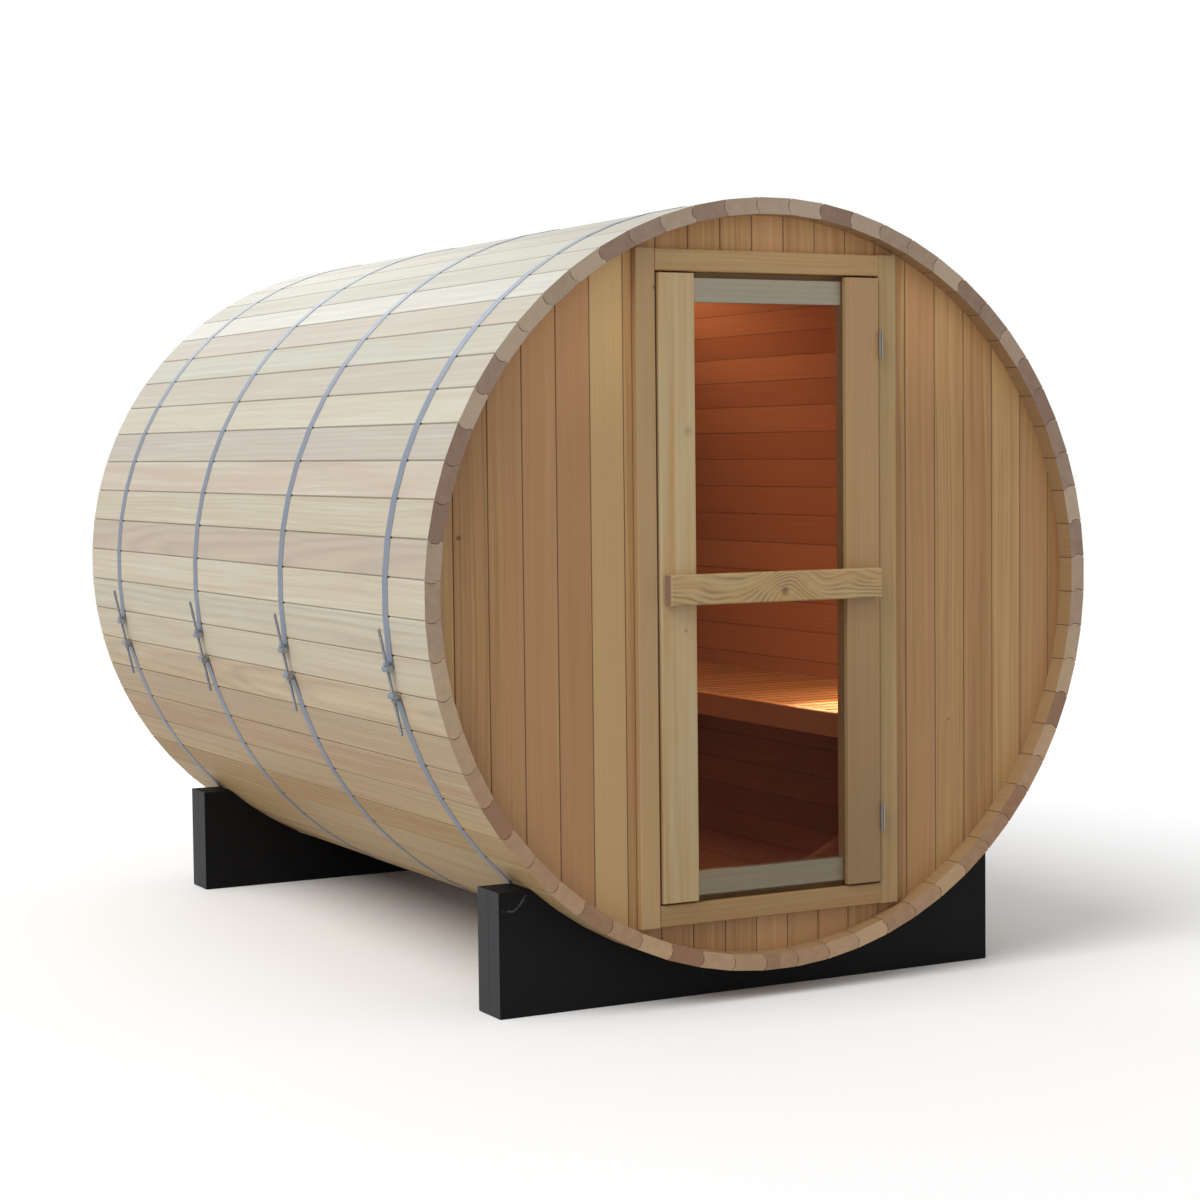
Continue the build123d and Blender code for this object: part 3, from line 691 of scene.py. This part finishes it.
class Shape(Nodes):
    """A Geometry Nodes tree with named inputs. It ends in one plain mesh."""

    def __init__(self, name):
        super().__init__(bpy.data.node_groups.new(name, "GeometryNodeTree"))
        for in_out in ("INPUT", "OUTPUT"):
            self.tree.interface.new_socket("Geometry", in_out=in_out, socket_type="NodeSocketGeometry")
        self.given = self.add("NodeGroupInput")
        self.values = {}

    def named(self, name, value, kind="NodeSocketFloat"):
        """Add a named input and return what it holds."""
        socket = self.tree.interface.new_socket(name, in_out="INPUT", socket_type=kind)
        self.values[socket.identifier] = value
        return Wire(self, self.given.outputs[name])

    def cylinder(self, radius, depth, rounds, rings_in_cap=1):
        """Return an upright cylinder of twelve sides about the origin."""
        values = {
            "Vertices": 12, "Side Segments": rounds, "Fill Segments": rings_in_cap,
            "Radius": radius, "Depth": depth,
        }
        return self.wire("GeometryNodeMeshCylinder", values, fill_type="TRIANGLE_FAN")

    def coordinates(self):
        """Return the three coordinates of each point."""
        return self.split(self.wire("GeometryNodeInputPosition"))

    def moved(self, shape, x, y, z):
        """Return a shape with its points set to new places."""
        values = {"Geometry": shape, "Position": self.point(x, y, z)}
        return self.wire("GeometryNodeSetPosition", values)

    def at_each_point(self, shape, facing, spin):
        """Return the shape at each given point, facing one way, each spun by chance about its own axis."""
        turn = tuple(facing.to_track_quat("Z", "Y").to_euler())
        tilt = self.wire("FunctionNodeEulerToRotation", {0: self.named("Turn", turn, "NodeSocketVector")})
        spins = {"Min": (0.0, 0.0, 0.0), "Max": (0.0, 0.0, spin), "Seed": 7}
        chance = self.wire("FunctionNodeRandomValue", spins, data_type="FLOAT_VECTOR")
        own = self.wire("FunctionNodeEulerToRotation", {0: chance})
        rotation = self.wire("FunctionNodeRotateRotation", {0: tilt, 1: own}, rotation_space="LOCAL")
        points = self.wire("GeometryNodeMeshToPoints", {"Mesh": Wire(self, self.given.outputs["Geometry"])})
        values = {"Points": points, "Instance": shape, "Rotation": rotation}
        return self.wire("GeometryNodeInstanceOnPoints", values)

    def make(self, name, points, shape, material):
        """Close the tree on a shape, run it on some points, and return a plain object."""
        real = self.wire("GeometryNodeRealizeInstances", {"Geometry": shape})
        dressed = self.wire("GeometryNodeSetMaterial", {"Geometry": real, "Material": material})
        self.add("NodeGroupOutput", {0: dressed})
        seeds = bpy.data.meshes.new(name + "_points")
        seeds.from_pydata([tuple(point) for point in points], [], [])
        piece = bpy.data.objects.new(name, seeds)
        bpy.context.scene.collection.objects.link(piece)
        modifier = piece.modifiers.new(name, "NODES")
        modifier.node_group = self.tree
        for identifier, value in self.values.items():
            modifier[identifier] = value
        graph = bpy.context.evaluated_depsgraph_get()
        mesh = bpy.data.meshes.new_from_object(piece.evaluated_get(graph), depsgraph=graph)
        if not mesh.polygons:
            raise RuntimeError(f"{name} came out empty")
        piece.modifiers.clear()
        piece.data = mesh
        bpy.data.meshes.remove(seeds)
        return piece


def rod_ends(hoop):
    """Return the middles of both ends of the rod that tightens one hoop."""
    low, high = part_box(hoop)
    rods = frame["nodes"]["tensioner_rods"].data
    corners = [corner.co for corner in rods.vertices if low.y < corner.co.y < high.y]
    middle = sum(corner.z for corner in corners) / len(corners)
    ends = []
    for side in (-1, 1):
        end = [corner for corner in corners if (corner.z - middle) * side > 0]
        ends.append(sum(end, Vector()) / len(end))
    return ends


def threaded_rods(material):
    """Make the tensioners' rods with a thread cut along their whole length."""
    fittings = bpy.context.scene.sauna_fittings
    ends = [rod_ends(hoop) for hoop in HOOP_NODES]
    low, high = ends[0]
    rod = Shape("threaded_rod")
    radius = rod.named("Radius", fittings.rod_radius)
    reach = rod.named("Length", (high - low).length)
    pitch = rod.named("Pitch", fittings.thread_pitch)
    depth = rod.named("Thread depth", fittings.thread_depth)
    rounds_per_turn = 3
    body = rod.cylinder(radius, reach, reach / pitch * rounds_per_turn)
    x, y, z = rod.coordinates()
    # A thousand turns more keep the count above zero all along the rod.
    winding = z / pitch + rod.maths("ARCTAN2", y, x) / math.tau + 1000.0
    groove = abs(rod.maths("FRACT", winding) * 2.0 - 1.0)
    level = 1.0 - depth * groove / radius
    body = rod.moved(body, x * level, y * level, z)
    middles = [(one + other) / 2 for one, other in ends]
    return rod.make("threaded_rods", middles, rod.at_each_point(body, high - low, 0.0), material)


def screws(name, places, facing, material):
    """Make screws with a star-shaped recess, their heads level with a surface that faces one way."""
    fittings = bpy.context.scene.sauna_fittings
    head = Shape(name + "_head")
    radius = head.named("Head radius", fittings.screw_radius)
    thickness = head.named("Head thickness", fittings.screw_radius / 3)
    body = head.cylinder(radius, thickness, 1, rings_in_cap=3)
    x, y, z = head.coordinates()
    # The cap's three rings of points make the recess's foot, its rim, and the head's chamfered edge.
    out = head.slant(x, y) / radius
    on_top = z > 0.0
    foot = (out < 0.5) * on_top
    rim = (out > 0.5) * (out < 0.9) * on_top
    edge = (out > 0.9) * on_top
    star = head.maths("COSINE", head.maths("ARCTAN2", y, x) * 6.0) * 0.1
    width = 1.0 + rim * (star - 0.28) + foot * (star + 0.2) - edge * 0.08
    body = head.moved(body, x * width, y * width, z - foot * thickness * 0.8)
    return head.make(name, places, head.at_each_point(body, Vector(facing), math.tau), material)


def fix(piece, body, slot, *replaced):
    """Make a piece ride on a body and stand for CAD nodes, which it hides. The slot is not used."""
    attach(piece, body)
    if replaced:
        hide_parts(*replaced)


class SAUNA_OT_staves(bpy.types.Operator):
    """Finish the staves of the barrel"""

    bl_idname = "sauna.staves"
    bl_label = "Staves"

    def execute(self, context):
        dress(STAVE_NODES, stave_finish())
        return {"FINISHED"}


class SAUNA_OT_walls(bpy.types.Operator):
    """Finish the boards of both end walls"""

    bl_idname = "sauna.walls"
    bl_label = "End walls"

    def execute(self, context):
        dress(WALL_NODES, board_wall_finish())
        return {"FINISHED"}


class SAUNA_OT_door(bpy.types.Operator):
    """Finish the door frame and the door leaf"""

    bl_idname = "sauna.door"
    bl_label = "Door"

    def execute(self, context):
        look = context.scene.sauna_woods
        light, dark, blush = look.door_light, look.door_dark, look.door_blush
        mixed = light, dark, blush
        orange = light, dark, dark
        pink = blush, dark, blush
        pale = light, dark, look.door_pale
        grey = look.rail_grey, light, look.rail_grey
        jamb_knots = on_face(LEFT_JAMB_KNOTS, "door_jamb_left")
        stile_knots = on_face(LEFT_STILE_KNOTS, "door_stile_left")
        # In these planks, the foot values paint shade that darkens them towards the bottom.
        dress_planks({
            "door_jamb_left": ("z", mixed, {"level": 0.84, "knots": jamb_knots}),
            "door_jamb_right": ("z", orange, {"level": 0.76, "foot": 0.92}),
            "door_header": ("x", mixed, {"level": 0.86}),
            "door_sill": ("x", orange, {"level": 0.67}),
            "door_stile_left": ("z", pale, {"level": 0.93, "foot": 0.86, "knots": stile_knots}),
            "door_stile_right": ("z", pink, {"level": 0.84, "foot": 0.66}),
            # Painted light: the right backing is lifted well above the door's tones, since it sits in shade
            # behind the glass.
            "door_backing_right": ("z", pink, {"level": 1.45}),
            "door_backing_left": ("z", grey, {"level": 0.9}),
            "door_rail_top": ("x", grey, {"level": 1.35}),
            "door_rail_bottom": ("x", grey, {"level": 0.88}),
        })
        dress(["door_handle"], handle_finish())
        dress(["door_glass"], glass_finish())
        return {"FINISHED"}


class SAUNA_OT_bench(bpy.types.Operator):
    """Finish the bench and screw its slats down"""

    bl_idname = "sauna.bench"
    bl_label = "Bench"

    def execute(self, context):
        look = context.scene.sauna_woods
        tones = look.bench_light, look.bench_dark, look.bench_light
        dress_planks({
            "bench_fascia": ("y", tones, {"level": 1.35}),
            "bench_rail_front": ("y", tones, {}),
            "bench_rail_wall": ("y", tones, {}),
        })
        dress(["bench_slats"], slat_finish())
        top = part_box("bench_slats")[1].z
        places = [
            (sum(corner.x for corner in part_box(rail)) / 2, middle, top)
            for rail in ("bench_rail_front", "bench_rail_wall")
            for middle in piece_middles("bench_slats")
        ]
        tone = context.scene.sauna_fittings.screw_steel
        steel = steel_finish("bench_screw_steel", tone, 0.35, SCREW_STREAKS)
        fix(screws("bench_screws", places, (0.0, 0.0, 1.0), steel), "barrel", "hinge_steel")
        return {"FINISHED"}


class SAUNA_OT_hinges(bpy.types.Operator):
    """Finish the hinges and screw their plates to the door leaf and the jamb"""

    bl_idname = "sauna.hinges"
    bl_label = "Hinges"

    def execute(self, context):
        fittings = context.scene.sauna_fittings
        dress(DOOR_HINGES + FRAME_HINGES, hinge_finish(fittings.hinge_steel))
        steel = steel_finish("hinge_screw_steel", fittings.screw_steel, 0.35, SCREW_STREAKS)
        leaf_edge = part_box("door_stile_right")[1].x
        door_face = leaf_edge + fittings.hinge_plate
        frame_face = 2 * PIN_X - door_face
        for body, nodes, face, facing in (
            ("door", DOOR_HINGES, door_face, (1.0, 0.0, 0.0)),
            ("barrel", FRAME_HINGES, frame_face, (-1.0, 0.0, 0.0)),
        ):
            places = []
            for node in nodes:
                low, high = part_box(node)
                middle = (low.z + high.z) / 2
                for rise, inset in HINGE_SCREWS:
                    places.append((face, high.y - inset, middle + rise))
            fix(screws(body + "_hinge_screws", places, facing, steel), body, "hinge_steel")
        return {"FINISHED"}


class SAUNA_OT_bands(bpy.types.Operator):
    """Finish the bands and their tensioners, and cut the threads of the rods"""

    bl_idname = "sauna.bands"
    bl_label = "Bands"

    def execute(self, context):
        fittings = context.scene.sauna_fittings
        dress(HOOP_NODES, steel_finish("band_steel", fittings.band_steel, 0.32, BAND_STREAKS))
        rod = steel_finish("rod_steel", fittings.rod_steel, 0.16, ROD_STREAKS)
        dress(["tensioner_trunnions", "tensioner_nuts", "tensioner_rods"], rod)
        fix(threaded_rods(rod), "barrel", "galvanised_steel", "tensioner_rods")
        return {"FINISHED"}


class SAUNA_OT_cradles(bpy.types.Operator):
    """Finish the painted cradles"""

    bl_idname = "sauna.cradles"
    bl_label = "Cradles"

    def execute(self, context):
        dress(["cradle_front", "cradle_back"], paint_finish())
        return {"FINISHED"}


def aim_camera(scene, studio):
    """Set up the camera from its place, its three angles and its lens."""
    yaw, pitch, roll = studio.camera_yaw, studio.camera_pitch, studio.camera_roll
    ahead = Vector((math.sin(yaw) * math.cos(pitch), math.cos(yaw) * math.cos(pitch), math.sin(pitch)))
    level_right = Vector((math.cos(yaw), -math.sin(yaw), 0.0))
    level_up = level_right.cross(ahead)
    right = level_right * math.cos(roll) + level_up * math.sin(roll)
    up = level_up * math.cos(roll) - level_right * math.sin(roll)
    camera_data = bpy.data.cameras.new("camera")
    camera_data.sensor_width = 36.0
    camera_data.lens = studio.lens
    camera = bpy.data.objects.new("camera", camera_data)
    turn = Matrix((right, up, -ahead)).transposed()
    camera.matrix_world = Matrix.Translation(studio.camera_place) @ turn.to_4x4()
    scene.collection.objects.link(camera)
    scene.camera = camera


def lay_floor(scene, studio):
    """Lay a plain floor that reaches far past the camera's view and throws back only part of its light."""
    reach = 60.0
    mesh = bpy.data.meshes.new("floor")
    corners = [(-reach, -reach, 0.0), (reach, -reach, 0.0), (reach, reach, 0.0), (-reach, reach, 0.0)]
    mesh.from_pydata(corners, [], [(0, 1, 2, 3)])
    floor = bpy.data.objects.new("floor", mesh)
    scene.collection.objects.link(floor)
    cloth = Finish("studio_floor")
    blotch = cloth.noise(cloth.x * 0.7, cloth.y * 0.7, 0.0)
    seen = cloth.wire("ShaderNodeLightPath", output="Is Camera Ray")
    bounce = studio.floor_bounce
    level = (seen * (1.0 - bounce) + bounce) * (0.99 + blotch * 0.02)
    mesh.materials.append(cloth.finish(cloth.shade(studio.floor, level), 0.9, Specular_IOR_Level=0.0))


def hang_lamp(scene, name, kind, power, place, target, tone=(1.0, 1.0, 1.0), **shape):
    """Hang a light at a place, facing a target."""
    light = bpy.data.lights.new(name, kind)
    light.energy = power
    light.color = tone
    for setting, value in shape.items():
        setattr(light, setting, value)
    lamp = bpy.data.objects.new(name, light)
    lamp.location = place
    lamp.rotation_euler = (Vector(target) - Vector(place)).to_track_quat("-Z", "Y").to_euler()
    scene.collection.objects.link(lamp)


def light_barrel(scene, studio):
    """Hang the panel behind the barrel and the large soft light on its left."""
    panel_place = (0.6, BACK_RIM + 6.5, 4.4)
    panel_target = (0.0, 1.0, 1.6)
    hang_lamp(scene, "back_panel", "AREA", studio.panel_power, panel_place, panel_target, size=4.0)
    key_place = (-6.0, -1.5, 7.0)
    key_target = (0.0, 0.0, 0.0)
    hang_lamp(scene, "key", "SUN", studio.key_power, key_place, key_target, angle=studio.key_softness)


def light_cabin(scene, studio):
    """Hang two small lamps over the front of the bench and a soft one under the top staves."""
    warm = studio.lamp_colour
    bench_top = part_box("bench_slats")[1].z
    lamp_place = (0.6, WALL_FACE + 0.16, bench_top + 0.28)
    lamp_target = (0.5, WALL_FACE + 0.3, bench_top)
    hang_lamp(scene, "cabin_lamp", "AREA", studio.lamp_power, lamp_place, lamp_target, warm, size=0.06)
    glow_place = (0.6, WALL_FACE + 0.14, bench_top + 0.5)
    bright_corner = (0.42, WALL_FACE + 0.24, bench_top)
    hang_lamp(
        scene, "bench_glow", "SPOT", studio.glow_power, glow_place, bright_corner, studio.glow_colour,
        spot_size=0.65, spot_blend=1.0, shadow_soft_size=0.02,
    )
    fill_place = (0.0, BARREL_MIDDLE, AXIS_HEIGHT + BARREL_RADIUS * 0.7)
    fill_target = (0.6, BARREL_MIDDLE, 1.3)
    hang_lamp(scene, "cabin_fill", "AREA", studio.fill_power, fill_place, fill_target, warm, size=0.4)


def light_sky(scene, studio):
    """Give the world an even light, which looks brighter to the camera than it shines."""
    world = bpy.data.worlds.new("studio")
    world.use_nodes = True
    sky = Nodes(world.node_tree)
    sky.tree.nodes.clear()
    seen = sky.wire("ShaderNodeLightPath", output="Is Camera Ray")
    strength = seen * (studio.backdrop - studio.sky_strength) + studio.sky_strength
    light = sky.wire("ShaderNodeBackground", {"Color": (1.0, 1.0, 1.0, 1.0), "Strength": strength})
    sky.add("ShaderNodeOutputWorld", {"Surface": light})
    scene.world = world


class SAUNA_OT_studio(bpy.types.Operator):
    """Set up the camera, the floor and the lights"""

    bl_idname = "sauna.studio"
    bl_label = "Studio"

    def execute(self, context):
        for step in (aim_camera, lay_floor, light_barrel, light_cabin, light_sky):
            step(context.scene, context.scene.sauna_studio)
        context.scene.view_settings.view_transform = "Standard"
        return {"FINISHED"}


class SAUNA_PT_panel(bpy.types.Panel):
    """Lists the steps that finish the sauna"""

    bl_idname = "SAUNA_PT_panel"
    bl_label = "Barrel sauna"
    bl_space_type = "VIEW_3D"
    bl_region_type = "UI"
    bl_category = "Sauna"

    def draw(self, context):
        for operator in OPERATORS:
            self.layout.operator(operator.bl_idname)
        for group in GROUPS:
            settings = getattr(context.scene, group)
            for name in settings.bl_rna.properties.keys():
                if name not in ("rna_type", "name"):
                    self.layout.prop(settings, name)


OPERATORS = (
    SAUNA_OT_staves, SAUNA_OT_walls, SAUNA_OT_door, SAUNA_OT_bench, SAUNA_OT_hinges, SAUNA_OT_bands,
    SAUNA_OT_cradles, SAUNA_OT_studio,
)
GROUPS = {"sauna_woods": SaunaWoods, "sauna_fittings": SaunaFittings, "sauna_studio": SaunaStudio}


def register():
    """Register the settings, the operators and the panel."""
    for name, group in GROUPS.items():
        bpy.utils.register_class(group)
        setattr(bpy.types.Scene, name, bpy.props.PointerProperty(type=group))
    for operator in OPERATORS:
        bpy.utils.register_class(operator)
    bpy.utils.register_class(SAUNA_PT_panel)


def unregister():
    """Take away what register added."""
    bpy.utils.unregister_class(SAUNA_PT_panel)
    for operator in reversed(OPERATORS):
        bpy.utils.unregister_class(operator)
    for name, group in GROUPS.items():
        delattr(bpy.types.Scene, name)
        bpy.utils.unregister_class(group)


def main():
    """Register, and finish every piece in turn."""
    register()
    for operator in OPERATORS:
        group, name = operator.bl_idname.split(".")
        getattr(getattr(bpy.ops, group), name)()


if __name__ == "__main__":
    main()
